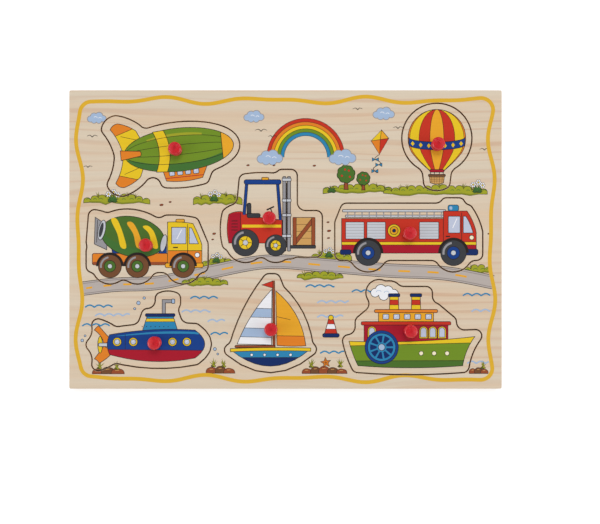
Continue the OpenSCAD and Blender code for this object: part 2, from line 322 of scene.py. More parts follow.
def backing_material(low_z, high_z):
    """Plain birch ply with a calmer grain than the front's."""
    material, tree, shader = new_material("backing_ply")
    place, (_, _, z), upright = tree.surface()
    broad = tree.noise(place, (40, 4, 40), 4.0, 0.6)
    fine = tree.noise(place, (1500, 50, 1500), 3.0, 0.6)
    face = tree.mix(tree.remap(broad, 0.35, 0.7, 0.0, 0.8), BIRCH_PALE, BIRCH_WARM)
    face = tree.mix(tree.remap(fine, 0.45, 0.8, 0.0, 0.4), face, BIRCH_DARK)
    tree.feed(shader, {
        "Base Color": tree.mix(upright, face, ply_colour(tree, place, z, low_z, high_z)),
        "Roughness": tree.remap(fine, 0.3, 0.8, 0.6, 0.75),
        "Normal": tree.bump(0.2, fine),
    })
    return material


def knob_material():
    """Glossy moulded red plastic with a faint flow pattern."""
    material, tree, shader = new_material("knob_red")
    flow = tree.noise(tree.add("TexCoord")["Object"], (300, 300, 500))
    tree.feed(shader, {
        "Base Color": tree.mix(tree.remap(flow, 0.3, 0.7), KNOB_RED, KNOB_DEEP_RED),
        "Roughness": tree.remap(flow, 0.3, 0.7, 0.26, 0.34),
        "Subsurface Weight": 0.12,
        "Subsurface Radius": (0.003, 0.0006, 0.0005),
        "Coat Weight": 0.3,
        "Coat Roughness": 0.22,
    })
    return material


def screw_material():
    material, tree, shader = new_material("screw_steel")
    lathed = tree.noise(tree.add("TexCoord")["Object"], (800, 800, 6000))
    tree.feed(shader, {
        "Base Color": tree.mix(lathed, STEEL_DARK, STEEL_PALE),
        "Roughness": tree.remap(lathed, 0.3, 0.7, 0.28, 0.42),
        "Metallic": 1.0,
    })
    return material


# Printing inks

INKS = {
    "line": (40, 32, 30), "red": (196, 50, 32), "crimson": (168, 20, 42),
    "orange": (225, 128, 36), "amber": (232, 166, 40), "yellow": (231, 195, 34),
    "cream": (243, 233, 200), "lilac": (191, 198, 218), "white": (238, 238, 242),
    "sky": (163, 185, 214), "blue": (20, 62, 136), "navy": (18, 44, 100),
    "teal": (44, 132, 178), "tyre": (60, 62, 66), "grey": (150, 148, 152),
    "silver": (198, 201, 208), "green": (112, 142, 36), "forest": (74, 110, 42),
    "grass": (160, 162, 40), "olive": (132, 136, 36), "leaf": (66, 112, 50),
    "rust": (150, 76, 44), "brown": (114, 74, 46), "tan": (206, 158, 92),
    "road": (184, 174, 168), "kerb": (150, 140, 136), "border": (222, 174, 48),
}


def ink_material(name, levels, pine):
    """Screen ink that lets a little of the wood's grain through. The pen line stays one plain colour."""
    material, tree, shader = new_material("ink_" + name)
    colour = srgb(*levels)
    if name != "line":
        grain = tree.add("Group", node_tree=pine)["Grain"]
        colour = tree.shaded(colour, tree.remap(grain, *GRAIN_SHADES, 0.95, 1.04))
    tree.feed(shader, {"Base Color": colour, "Roughness": 0.45, "Specular IOR Level": 0.22})
    return material


# Shapes on the print, as lists of points in millimetres

LINE_W = 0.42
NEAR = 0.01


def sides(outline):
    return zip(outline, outline[1:] + outline[:1])


def turned(x, y, turn, u, v):
    """The point u, v turned by so many degrees and moved by x, y."""
    c = math.cos(math.radians(turn))
    s = math.sin(math.radians(turn))
    return x + u * c - v * s, y + u * s + v * c


def around(x, y, r, a):
    """The point at distance r from x, y in the direction a, in radians."""
    return x + r * math.cos(a), y + r * math.sin(a)


def circle(x, y, r):
    return ellipse(x, y, r, r)


def ellipse(x, y, rx, ry, turn=0.0):
    count = max(12, int(14 * math.sqrt(max(rx, ry))))
    return arc(x, y, rx, ry, 0, 360 * (count - 1) / count, count, turn)


def arc(x, y, rx, ry, start, end, count=16, turn=0.0):
    points = []
    for k in range(count):
        a = math.radians(start + (end - start) * k / (count - 1))
        points.append(turned(x, y, turn, rx * math.cos(a), ry * math.sin(a)))
    return points


def box(x0, y0, x1, y1, r=0.0, count=5):
    if r == 0:
        return [(x0, y0), (x1, y0), (x1, y1), (x0, y1)]
    points = []
    middles = ((x1 - r, y1 - r), (x0 + r, y1 - r), (x0 + r, y0 + r), (x1 - r, y0 + r))
    for k, (x, y) in enumerate(middles):
        points += arc(x, y, r, r, 90 * k, 90 * k + 90, count)
    return points


def bowed(*corners):
    """A counter-clockwise outline. A corner is x, y and, where the next side bulges, that side's bow."""
    steps = 10
    points = []
    for (ax, ay, *bow), (bx, by, *_) in sides(corners):
        dx = bx - ax
        dy = by - ay
        for k in range(steps if bow else 1):
            t = k / steps
            rise = 4 * t * (1 - t) * sum(bow)
            points.append((ax + dx * t + rise * dy, ay + dy * t - rise * dx))
    return points


def curve(points, closed=True, steps=6):
    """A smooth curve through the points."""
    n = len(points)
    made = []
    for k in range(n if closed else n - 1):
        near = [(k + d) % n if closed else min(max(k + d, 0), n - 1) for d in (-1, 0, 1, 2)]
        p = [Vector(points[i]) for i in near]
        for j in range(steps):
            t = j / steps
            q = 0.5 * (2 * p[1] + (p[2] - p[0]) * t + (2 * p[0] - 5 * p[1] + 4 * p[2] - p[3]) * t * t
                       + (3 * p[1] - p[0] - 3 * p[2] + p[3]) * t ** 3)
            made.append((q.x, q.y))
    if not closed:
        made.append(tuple(points[-1]))
    return made


def area(points):
    return sum(ax * by - bx * ay for (ax, ay), (bx, by) in sides(points)) / 2


def ccw(loop):
    return loop if area(loop) > 0 else loop[::-1]


def mitre(a, b, c, reach):
    """How far the corner b moves when its sides a-b and b-c move to the right by reach."""
    normals = []
    for p, q in ((a, b), (b, c)):
        run = Vector(q) - Vector(p)
        if run.length > 1e-6:
            normals.append(Vector((run.y, -run.x)).normalized())
    if not normals:
        return Vector((0, 0))
    first = normals[0]
    last = normals[-1]
    return (first + last) / max(1 + first.dot(last), 0.3) * reach


def grown(points, reach):
    """A counter-clockwise outline moved outwards by reach, or inwards if that is negative."""
    corners = zip(points[-1:] + points, points, points[1:] + points[:1])
    return [tuple(Vector(b) + mitre(a, b, c, reach)) for a, b, c in corners]


def ribbon(points, width, tip=1.0):
    """The outline of a stroke along the points. Its width shrinks to tip times width at the last point."""
    n = len(points)
    right = []
    left = []
    for k in range(n):
        half = width / 2 * (1 + (tip - 1) * k / (n - 1))
        side = mitre(points[max(k - 1, 0)], points[k], points[min(k + 1, n - 1)], half)
        here = Vector(points[k])
        right.append(tuple(here + side))
        left.append(tuple(here - side))
    return right + left[::-1]


def clipped(points, a, b):
    """The part of an outline that lies to the left of the line from a to b."""
    run = Vector(b) - Vector(a)
    made = []
    for p, q in sides(points):
        here = run.x * (p[1] - a[1]) - run.y * (p[0] - a[0])
        there = run.x * (q[1] - a[1]) - run.y * (q[0] - a[0])
        if here >= 0:
            made.append(p)
        if (here >= 0) != (there >= 0):
            t = here / (here - there)
            made.append((p[0] + (q[0] - p[0]) * t, p[1] + (q[1] - p[1]) * t))
    return made


class Picture:
    """Printed shapes in painting order, drawn in millimetres round a place on the board."""

    def __init__(self, x=0.0, y=0.0, turn=0.0):
        self.place = (x, y, turn)
        self.shapes = []

    def at(self, x, y):
        """The same picture with its origin moved to x, y."""
        moved = Picture(x, y)
        moved.shapes = self.shapes
        return moved

    def fill(self, points, ink):
        outline = []
        for point in points:
            here = turned(*self.place, *point)
            if not outline or math.dist(here, outline[-1]) > NEAR:
                outline.append(here)
        if math.dist(outline[0], outline[-1]) < NEAR:
            outline.pop()
        self.shapes.append((ccw(outline), ink))

    def shape(self, points, ink, line=LINE_W):
        """A fill with a pen line round it."""
        points = ccw(points)
        self.fill(grown(points, line / 2), "line")
        self.fill(grown(points, -line / 2), ink)

    def block(self, x0, y0, x1, y1, r, ink, line=LINE_W):
        self.shape(box(x0, y0, x1, y1, r), ink, line)

    def disc(self, x, y, r, ink, line=LINE_W):
        self.shape(circle(x, y, r), ink, line)

    def lobes(self, discs, ink, rim="line"):
        """Circles that run together inside one pen line, each given as x, y and radius."""
        for x, y, r in discs:
            self.fill(circle(x, y, r + LINE_W / 2), rim)
        for x, y, r in discs:
            self.fill(circle(x, y, r - LINE_W / 2), ink)

    def part(self, points, a, b, ink):
        """Fills an outlined shape to the left of the line from a to b, and draws that line."""
        inner = grown(ccw(points), -LINE_W / 2)
        across = (Vector(b) - Vector(a)).normalized() * LINE_W * 0.4
        left = Vector((-across.y, across.x))
        self.fill(clipped(inner, Vector(a) - left, Vector(b) - left), "line")
        self.fill(clipped(inner, Vector(a) + left, Vector(b) + left), ink)

    def line(self, points, width=LINE_W, ink="line", tip=1.0):
        self.fill(ribbon(points, width, tip), ink)


# The eight pictures, each drawn round its knob

def wheel(p, x, y, r, tyre, hub, spokes=0):
    p.disc(x, y, r, tyre)
    p.fill(arc(x, y, r * 0.86, r * 0.86, 100, 190, 12) + arc(x, y, r * 0.7, r * 0.7, 190, 100, 12), "grey")
    p.disc(x, y, r * 0.5, hub)
    for k in range(spokes):
        p.line([(x, y), around(x, y, r * 0.46, 2 * math.pi * k / spokes)], 0.4)
    p.disc(x, y, r * 0.2, "silver", 0.3)


def window(p, x0, y0, x1, y1, r=0.8):
    """A pane with a white glint."""
    p.block(x0, y0, x1, y1, r, "lilac")
    glint = (x1 - x0) * 0.22
    p.line([(x1 - glint * 2.2, y1 - 0.9), (x1 - glint * 3.2, y0 + (y1 - y0) * 0.55)], 0.5, "white")


def airship(p):
    for side in (1, -1):
        upper = bowed((-22, 6), (-26.4, 16, 0.06), (-38.6, 22.2, 0.15), (-44, 18.6, -0.06), (-37, 1))
        fin = [(x, y * side) for x, y in upper]
        p.shape(fin, "yellow")
        a, b = [(-46, 12.2 * side), (-27, 18.2 * side)][::side]
        p.part(fin, a, b, "orange")
        p.line([(-25.6, 9.4 * side), (-37.4, 13.2 * side)], 0.32)
    p.shape(bowed((-11, -11.5), (-8.8, -20.8, 0.05), (16.4, -20.8), (21, -11.5)), "orange")
    p.line([(-9.6, -19), (16.9, -19)], 0.5, "crimson")
    for k in range(4):
        window(p, -6.4 + 5.6 * k, -17.6, -2.6 + 5.6 * k, -13.8)
    hull = ellipse(2, 0, 38, 15)
    p.shape(hull, "green")
    shade = curve([(36, -3.5), (16, -8.6), (-12, -8.8), (-33, -3.8)], False)
    p.fill(arc(2, 0, 37.7, 14.7, 196, 344, 30) + shade, "leaf")
    p.fill(arc(2, 0, 34, 11.6, 60, 130, 14) + arc(2, 0, 33.4, 9.8, 130, 60, 14), "grass")
    band = []
    for y in range(-15, 16, 3):
        band.append((-15 + 3.2 * (1 - (y / 15) ** 2), y * 0.93))
    right = [(x + 7.5, y * 1.035) for x, y in band]
    p.shape(right + band[::-1], "yellow")
    p.shape(arc(2, 0, 38, 15, -38, 38, 14), "amber")
    for b in (9.6, 3.4):
        for side in (1, -1):
            p.line(arc(2, 0, 37.8, side * b, 38, 174, 28), 0.32)
    p.shape(bowed((-38.6, -3.4), (-25, -1.7, 0.2), (-25, 1.7), (-38.6, 3.4)), "orange")


def balloon_half_width(y):
    """Half the bag's width at height y: a round top that runs into a tapered skirt."""
    if y > -4.8:
        return math.sqrt(max(20 ** 2 - (y - 4.8) ** 2, 0))
    t = (y + 18) / 13.2
    return 4.6 + (17.55 - 4.6) * (t * 1.25 - 0.25 * t * t)


def balloon(p):
    for x0, x1 in ((-4.2, -4.6), (4.2, 4.6), (-1.6, -1.9), (1.6, 1.9)):
        p.line([(x0, -17.5), (x1, -21.4)], 0.45)
    heights = [-18 + 1.9 * k for k in range(22)] + [23.4, 24.2, 24.6, 24.8]
    edge = [(balloon_half_width(y), y) for y in heights]
    gores = ((-1, 1, "orange", LINE_W), (0.62, 0.94, "yellow", 0.32), (-0.62, -0.94, "yellow", 0.32),
             (0.24, 0.62, "red", 0.32), (-0.24, -0.62, "red", 0.32), (-0.24, 0.24, "amber", 0.32))
    for inner, outer, ink, line in gores:
        p.shape([(outer * x, y) for x, y in edge] + [(inner * x, y) for x, y in edge[::-1]], ink, line)
    upper = [(19.7 * math.cos(a), 5.6 - 3.4 * math.sin(a)) for a in (math.pi * k / 18 for k in range(19))]
    lower = [(x * 0.975, y - 5.4) for x, y in upper]
    p.shape(upper + lower[::-1], "blue")
    for k in range(-3, 4):
        x = 5.6 * k
        y = 2.9 - 3.4 * math.sqrt(1 - (x / 19.7) ** 2)
        p.fill([(x, y + 1.7), (x - 1.3, y), (x, y - 1.7), (x + 1.3, y)], "yellow")
    p.block(-4.9, -18.7, 4.9, -16.9, 0.6, "crimson")
    p.shape(bowed((-5.4, -20.6), (-4.6, -26, 0.1), (4.6, -26), (5.4, -20.6)), "tan")
    for k in range(3):
        p.line([(-4.9 + 0.1 * k, -22.3 - 1.3 * k), (4.9 - 0.1 * k, -22.3 - 1.3 * k)], 0.28, "brown")
    for k in range(-2, 3):
        p.line([(1.9 * k, -21.6), (1.7 * k, -26.2)], 0.28, "brown")
    p.block(-5.9, -21.7, 5.9, -20.2, 0.6, "brown")


def mixer(p):
    p.shape([(-36.6, 1), (-28, -3), (-27.5, 14), (-36, 19.6)], "grey")
    p.line([(-35, 2), (-34.4, 17.6)])
    p.block(-38, -13.5, 38, -5.5, 1.2, "orange")
    p.fill(box(-37.7, -13.2, 37.7, -11.4, 0.8), "rust")
    p.shape([(-24, -5.5), (-19, -5.5), (-21, 1), (-25, 1)], "blue")
    p.shape([(8, -5.5), (13.5, -5.5), (13.5, 5), (10, 5)], "blue")
    drum = ellipse(-9.9, 6.1, 22.4, 13.8, -12)
    p.shape(drum, "forest")
    p.fill(arc(-9.9, 6.1, 21.9, 13.4, 200, 335, 26, -12) + arc(-9.9, 6.1, 20, 7.4, 335, 200, 26, -12), "leaf")
    for x in (-24, -13, -2):
        stripe = [(x - 1, 17.8 - 0.22 * (x + 24)), (x + 3.4, 8), (x + 5.6, -1), (x + 9.6, -1.4),
                  (x + 7.2, 8.6), (x + 3, 18.3 - 0.22 * (x + 24))]
        p.fill(curve(stripe, True, 4), "yellow" if x != -13 else "amber")
    p.shape(ellipse(-31.4, 10.7, 2.4, 7, -12), "silver")
    p.fill(ellipse(-31.8, 10.8, 1.3, 5.2, -12), "tyre")
    p.shape(ellipse(11.4, 1.6, 2, 6, -12), "silver")
    cab = bowed((14.2, -13.4), (38, -13.4), (38, 0.6, 0.02), (31.8, 15.2, 0.03), (14.2, 16.2))
    p.shape(cab, "yellow")
    p.fill(box(14.5, -13.1, 37.7, -3.6), "orange")
    p.line([(14.2, -3.6), (38, -3.6)])
    p.block(17, 1.2, 27, 12.6, 0, "lilac")
    p.shape([(29.2, 1.2), (35.6, 1.2), (31, 12), (29.2, 12.4)], "lilac")
    p.line([(24, 11), (20.6, 4.4)], 0.6, "white")
    p.line([(28.1, 14.8), (28.1, -12)])
    p.line([(18, -1.4), (21.4, -1.4)], 0.8)
    p.disc(34.8, -6.6, 1.7, "white")
    p.block(20, 16.2, 26, 18.2, 0.8, "amber")
    p.block(12.5, -15.4, 39, -12.2, 1.2, "amber")
    for x in (-25.8, -6.8, 25):
        p.fill(arc(x, -14.4, 9.6, 9.6, 0, 180, 20), "line")
        wheel(p, x, -14.4, 8, "brown", "forest")


def forklift(p):
    body = bowed((-28.2, -17), (8.8, -17), (8.8, -1), (-13, 1.5, 0.02), (-19.5, 4.8, 0.08),
                 (-28.2, 3, 0.06))
    p.shape(body, "red")
    p.fill(bowed((-27.9, -16.7), (-20, -16.7), (-20, 3.8, 0.1), (-27.9, 2.6, 0.04)), "crimson")
    p.line([(-20, -16.8), (-20, 4.2)])
    p.fill(box(-19, -6.2, 8, -4.2), "yellow")
    for k in range(4):
        p.line([(-26.4, -1.6 - 2.1 * k), (-22, -1.6 - 2.1 * k)], 0.5)
    p.block(-15.6, 0.8, -12.8, 10.8, 1.2, "tyre")
    p.block(-15.6, 0.6, -6.4, 3.6, 1.2, "tyre")
    p.line([(4.2, -1.2), (0.6, 7.2)], 0.7)
    p.line([(-2, 6), (3.2, 8.4)], 1)
    for foot, head in (((-17.6, 2.6), (-15.8, 24.5)), ((7.6, -1), (5.6, 24.5))):
        p.line([foot, head], 2.3)
        p.line([foot, head], 1.5, "blue")
    p.block(-17.6, 23.8, 8, 27, 1.3, "blue")
    p.block(-5.4, 26.8, -0.6, 28.6, 0.6, "amber")
    for x in (9.2, 12.4):
        p.block(x, -22.6, x + 2.2, 29.2, 0.6, "grey")
    for y in (27, 12.6, 2.4, -12):
        p.block(8.8, y - 1, 15, y + 1, 0.4, "silver")
    p.line([(11.9, 25), (11.9, -20)], 0.5)
    p.block(14.4, -20.6, 32, -18.6, 0.5, "tyre")
    p.block(16.2, -18.4, 31.6, 0.8, 0.6, "tan")
    for y in (-13.6, -8.8, -4):
        p.line([(16.2, y), (31.6, y)], 0.32, "brown")
    brace = [(16.4, -16.4), (29.6, 0.6), (31.4, 0.6), (31.4, -1.4), (18.2, -18.2), (16.4, -18.2)]
    p.shape(brace, "rust", 0.3)
    for x in (16.2, 29.2):
        p.block(x, -18.4, x + 2.4, 0.8, 0.3, "rust", 0.3)
    wheel(p, -16.7, -16.7, 9.3, "tyre", "yellow", 5)
    wheel(p, 4.3, -18.6, 7.4, "tyre", "yellow", 5)


def fire_engine(p):
    p.block(-44, 11.4, 25, 13, 0.4, "silver")
    for k in range(14):
        p.line([(-42.4 + 5 * k, 11.4), (-42.4 + 5 * k, 16.4)], 0.8, "grey")
    p.block(-46, 15.2, 25.6, 16.8, 0.5, "silver")
    body = box(-46.6, -13.4, 24, 10.6)
    p.shape(body, "red")
    p.part(body, (24, -5.6), (-47, -5.6), "yellow")
    p.part(body, (24, -7.7), (-47, -7.7), "crimson")
    for x0, x1 in ((-43.8, -31), (-29, -16.2), (7.4, 20.8)):
        p.block(x0, -3.6, x1, 8.2, 0.6, "silver")
        for k in range(1, 6):
            p.line([(x0 + 0.4, -3.6 + 2 * k), (x1 - 0.4, -3.6 + 2 * k)], 0.28, "grey")
    for r, ink in ((4.4, "yellow"), (2.8, "amber"), (1.1, "navy")):
        p.disc(-10.2, 2.2, r, ink)
    cab = bowed((24, -13.4), (46.8, -13.4), (46.8, 1, 0.05), (40.4, 15.8), (24, 15.8))
    p.shape(cab, "red")
    p.part(cab, (47, -5.6), (24, -5.6), "yellow")
    p.part(cab, (47, -7.7), (24, -7.7), "crimson")
    p.block(27.4, 0.6, 35.6, 12.2, 0.6, "lilac")
    p.shape(bowed((37.8, 0.6), (44.6, 0.6, 0.04), (39.6, 12.2), (37.8, 12.2)), "lilac")
    p.line([(33.4, 10.6), (30.4, 4)], 0.6, "white")
    p.line([(36.7, 14.6), (36.7, -12.4)])
    p.line([(25.6, -1.8), (28.6, -1.8)], 0.8)
    p.block(27.2, 15.8, 34.6, 20, 1.4, "teal")
    p.fill(box(28.2, 16.8, 30.2, 19, 0.6), "sky")
    p.disc(43.6, -2.6, 1.6, "cream")
    p.block(38.8, -14.8, 48, -10.6, 1.4, "navy")
    p.block(-47.6, -14.4, -40, -11, 1.2, "navy")
    for x in (-28.2, 31):
        p.fill(arc(x, -13.2, 10.6, 10.6, 0, 180, 22), "line")
        wheel(p, x, -13.2, 8.9, "tyre", "blue")


def submarine(p):
    p.shape(bowed((-30, 0.6), (-39.6, 11.6, 0.05), (-42.6, 8.6, -0.1), (-36, -0.6)), "orange")
    p.shape(bowed((-42.6, -11.4, -0.1), (-39.2, -14.4, 0.05), (-29, -6), (-36, -2.6)), "orange")
    p.shape(ellipse(-38.6, -1.6, 1.6, 5.8), "yellow")
    p.block(-39.8, -2.8, -31, -0.4, 1, "silver")
    scope = [(5.6, 18), (5.6, 28.6), (12, 28.6)]
    p.line(scope, 2.7)
    p.line(scope, 1.9, "grey")
    p.block(11, 27.1, 13.2, 30.1, 0.5, "sky")
    tower = [(-9.6, 7), (15.6, 7), (12, 18.6), (-5.8, 18.6)]
    p.shape(tower, "teal")
    p.part(tower, (-12, 14.4), (18, 14.4), "yellow")
    p.part(tower, (-12, 16.6), (18, 16.6), "teal")
    p.block(-7.2, 18, 13.4, 20, 0.8, "navy")
    hull = bowed((-32, -8.4, 0.06), (27.2, -10.8, 0.35), (27.2, 8.6, 0.03), (-32, 5.4, 0.12))
    p.shape(hull, "blue")
    p.part(hull, (40, -5.6), (-40, -4.8), "crimson")
    p.fill(curve([(-28, 4.4), (0, 7.4), (26, 7.4), (29.6, 5.6), (24, 6), (-2, 5.9)], True, 5), "teal")
    p.line([(-21.2, 5.8), (-21.2, -4.9)], 0.32)
    for x in (-26.8, -15.6, 11.6, 21.6):
        p.disc(x, 0.4, 3, "yellow")
        p.disc(x, 0.4, 1.9, "lilac", 0.34)
        p.line([(x + 0.4, 1.4), (x - 0.5, 0.3)], 0.4, "white")
    for k in range(7):
        p.fill(circle(-9.4 + 3 * k, 11, 0.35), "line")


def sailboat(p):
    mast = [(2, -14), (1.6, 33.6)]
    p.line(mast, 1.9)
    p.line(mast, 1.2, "rust")
    p.shape([(1.2, 33.4), (-6.6, 30.6), (1.2, 28.4)], "red")
    main = bowed((0.2, -11), (0.4, 27.4, 0.05), (-23.6, -10.4))
    p.shape(main, "white")
    for low in (-5.2, 8.6):
        p.part(main, (-26, low), (4, low - 0.8), "sky")
        p.part(main, (-26, low + 6.2), (4, low + 5.4), "white")
    p.block(-25.2, -12.9, 2.6, -11.3, 0.8, "rust")
    jib = bowed((4, -11.4, 0.02), (24, -11.6, 0.10), (3.2, 26.4))
    p.shape(jib, "amber")
    p.part(jib, (26, -5), (2, -4.6), "orange")
    p.line([(3.8, 8.6), (13.4, 6.4)], 0.32)
    hull = bowed((-28.1, -14.4, 0.21), (27, -14, 0.01))
    p.shape(hull, "teal")
    p.part(hull, (40, -19.6), (-40, -19.9), "navy")
    p.shape(bowed((-28.4, -15.8, -0.01), (27.4, -15.4), (27.4, -13.2, 0.01), (-28.4, -13.6)), "yellow")
    for k in range(4):
        p.disc(-13.6 + 9 * k, -17.9, 1, "white", 0.34)


def steamboat(p):
    puff = [(-11, 25.6, 3.2), (-15, 27.6, 3.6), (-20, 28.2, 3.9), (-24, 26.4, 3), (-18, 24.6, 3.4)]
    p.lobes(puff, "white")
    for x, y in ((-16, 26), (-21.4, 26.6)):
        p.line(arc(x, y, 1.8, 1.5, 20, 170, 8), 0.36, "sky")
    for x in (-10.8, 4.4):
        funnel = [(x - 3.4, 10), (x + 3.4, 10), (x + 2.9, 24.4), (x - 2.9, 24.4)]
        p.shape(funnel, "yellow")
        p.part(funnel, (x - 4, 18), (x + 4, 18), "red")
        p.part(funnel, (x - 4, 21.4), (x + 4, 21.4), "yellow")
        p.block(x - 4, 23.6, x + 4, 25.8, 0.7, "navy")
    p.block(-21.6, 6, 16.6, 13.4, 0.8, "amber")
    for k in range(5):
        window(p, -18.6 + 7.4 * k, 8, -14.4 + 7.4 * k, 11.6, 0.6)
    p.block(-24.4, 12.6, 19.4, 14.8, 0.9, "orange")
    p.block(-31.6, -9, 26.6, 4.8, 0, "crimson")
    for x in (-28.2, 7.6, 14, 20.4):
        arch = box(x, -4.4, x + 4, 0.2)[:2] + arc(x + 2, 0.2, 2, 2, 0, 180, 9)
        p.shape(grown(arch, 0.9), "yellow")
        p.shape(arch, "lilac", 0.34)
    p.block(-33.6, 4, 28.6, 6.4, 0.9, "red")
    hull = bowed((-42, -7.2, 0.03), (-35.8, -24.2, 0.02), (36.8, -24.2, -0.06), (45.2, -4, -0.02))
    p.shape(hull, "green")
    p.part(hull, (50, -20.6), (-50, -20.9), "forest")
    p.part(hull, (-50, -10.6), (50, -8.2), "yellow")
    for k in range(3):
        p.disc(8 + 9 * k, -15.6, 1.5, "cream", 0.34)
    paddle(p, -19.4, -11.4, 11.6)


def paddle(p, x, y, r):
    """A paddle wheel in its round box."""
    p.disc(x, y, r, "blue")
    p.disc(x, y, r * 0.84, "teal")
    for k in range(9):
        start = 2 * math.pi * (k + 0.12) / 9
        end = 2 * math.pi * (k + 0.88) / 9
        middle = (start + end) / 2
        outer = [around(x, y, r * 0.70, a) for a in (start, middle, end)]
        p.fill(outer + [around(x, y, r * 0.30, a) for a in (middle + 0.2, middle - 0.2)], "navy")
    p.disc(x, y, r * 0.2, "sky")


# The background print

def border(p):
    """A plain wavy line all round, drawn as two halves that overlap a little at their ends."""
    inset = 7
    width = 2.7
    half_w = BOARD_W / 2 - inset
    half_d = BOARD_D / 2 - inset
    points = box(-half_w, -half_d, half_w, half_d, 8, 7)
    whole = sum(math.dist(a, b) for a, b in sides(points))
    gone = 0
    path = []
    for a, b in sides(points):
        run = Vector(b) - Vector(a)
        steps = max(1, round(run.length / 4))
        outward = Vector((run.y, -run.x)).normalized()
        for j in range(steps):
            turn = 2 * math.pi * (gone + run.length * j / steps) / whole
            sway = 1.6 * math.sin(13 * turn) + math.sin(21 * turn + 1.2)
            path.append(tuple(Vector(a) + run * j / steps + outward * sway))
        gone += run.length
    loop = curve(path, True, 2)
    half = len(loop) // 2
    p.line(loop[:half + 2], width, "border")
    p.line(loop[half:] + loop[:2], width, "border")


def cloud(p, x, y, k):
    discs = ((-6.2, -0.6, 3), (-2.6, 1.8, 3.6), (2.4, 2.2, 3.9), (6.4, -0.2, 3.1), (2.2, -2, 3),
             (-2.6, -1.9, 3))
    p.lobes([(x + k * dx, y + k * dy, k * r) for dx, dy, r in discs], "sky", "kerb")
    p.line(arc(x - 1.2 * k, y + 0.3 * k, 1.8 * k, 1.5 * k, 10, 150, 7), 0.36, "white")
    p.line(arc(x + 3.4 * k, y - 0.4 * k, 1.6 * k, 1.4 * k, 20, 160, 7), 0.36, "white")


def rainbow(p, x, y, r):
    width = 2.4
    outer = arc(x, y, r, r, 0, 180, 40)
    for ink in ("red", "orange", "yellow", "green", "teal"):
        r -= width
        inner = arc(x, y, r, r, 0, 180, 40)
        p.fill(outer + inner[::-1], ink)
        p.line(outer, 0.3)
        outer = inner
    p.line(outer, 0.3)


def kite(p):
    top = (1.6, 9)
    left = (-5.6, 1.4)
    right = (6.6, 3.2)
    foot = (0.2, -8)
    middle = (0.7, 2.3)
    quarters = ((top, left, "yellow"), (left, foot, "orange"), (foot, right, "red"), (right, top, "amber"))
    for a, b, ink in quarters:
        p.shape([middle, a, b], ink, 0.36)
    tail = curve([foot, (-3, -11), (1, -14), (-4, -17.6), (-1.4, -21)], False, 6)
    p.line(tail, 0.4)
    for x, y in (tail[7], tail[14], tail[21]):
        for wing in (-2.2, 2.2):
            p.shape([(x, y), (x + wing, y + 1.2), (x + wing, y - 1.2)], "teal", 0.3)


def bird(p, x, y, k=1):
    for side in (k, -k):
        wing = [(x, y), (x + side * 1.8, y + 1.5 * k), (x + side * 4.2, y + 0.7 * k)]
        p.line(curve(wing, False, 5), 0.55, "line", 0.4)


def hedge(p, x0, x1, y, height, seed):
    """A low mound of leafy lobes with a ragged foot, darker leaves and a few blades."""
    rng = random.Random(seed)
    n = max(3, round((x1 - x0) / 5.4))
    top = []
    for k in range(n + 1):
        t = k / n
        rise = height * math.sin(math.pi * min(max(t, 0.04), 0.96)) ** 0.6 * rng.uniform(0.7, 1)
        top.append((x0 + (x1 - x0) * t, y + rise))
    for x, lobe_y in top[1:-1]:
        if rng.random() < 0.75:
            tuft(p, x, lobe_y - 0.6, rng.uniform(0.75, 1.15), rng)
    lobes = []
    for (ax, ay), (bx, by) in zip(top, top[1:]):
        lobes += arc((ax + bx) / 2, (ay + by) / 2, (bx - ax) / 2, (bx - ax) * 0.4, 180, 12, 7)
    foot = [(x1 - (x1 - x0) * k / 12, y + rng.uniform(-0.9, 0.9)) for k in range(13)]
    p.shape(lobes + foot, "grass", 0.34)
    p.fill([(x, min(fy + 1.1, y + height * 0.4)) for x, fy in foot[1:-1]] + foot[-2:0:-1], "olive")
    for k in range(n):
        x = x0 + (x1 - x0) * (k + rng.uniform(0.3, 0.7)) / n
        r = rng.uniform(1, 1.7)
        p.line(arc(x, y + height * 0.42, r, r * 0.8, 20, 160, 6), 0.4, "leaf")


def tuft(p, x, y, k, rng):
    """A fan of pointed grass blades."""
    for angle in (-46, -28, -10, 8, 26, 44):
        a = math.radians(90 + angle + rng.uniform(-6, 6))
        reach = k * rng.uniform(3, 5)
        side = Vector((-math.sin(a), math.cos(a))) * k * 0.5
        foot = Vector((x + angle * 0.022 * k, y))
        p.shape([around(*foot, reach, a), tuple(foot + side), tuple(foot - side)], "grass", 0.24)


def bush(p, x, y, k=1, flowers=True):
    """A dark-green plant with pointed leaves and, where asked, white flowers."""
    for angle in (-80, -60, 78, 58, -38, 36, -16, 14):
        a = math.radians(90 + angle)
        reach = k * (5.6 - abs(angle) / 40)
        side = Vector((-math.sin(a), math.cos(a))) * k * 0.75
        middle = Vector(around(x, y, reach * 0.55, a))
        p.shape([(x, y), tuple(middle - side), around(x, y, reach, a), tuple(middle + side)], "leaf", 0.24)
    if flowers:
        for dx, dy in ((-2.8, 5.4), (0.8, 7), (3.6, 5)):
            p.line([(x, y + 1), (x + k * dx, y + k * dy)], 0.3, "leaf")
            flower(p, x + k * dx, y + k * dy, k)


def flower(p, x, y, k=1):
    for turn in range(0, 360, 60):
        middle = around(x, y, k * 1.1, math.radians(turn))
        p.shape(ellipse(*middle, k * 0.95, k * 0.62, turn), "white", 0.2)
    p.disc(x, y, k * 0.62, "yellow", 0.2)


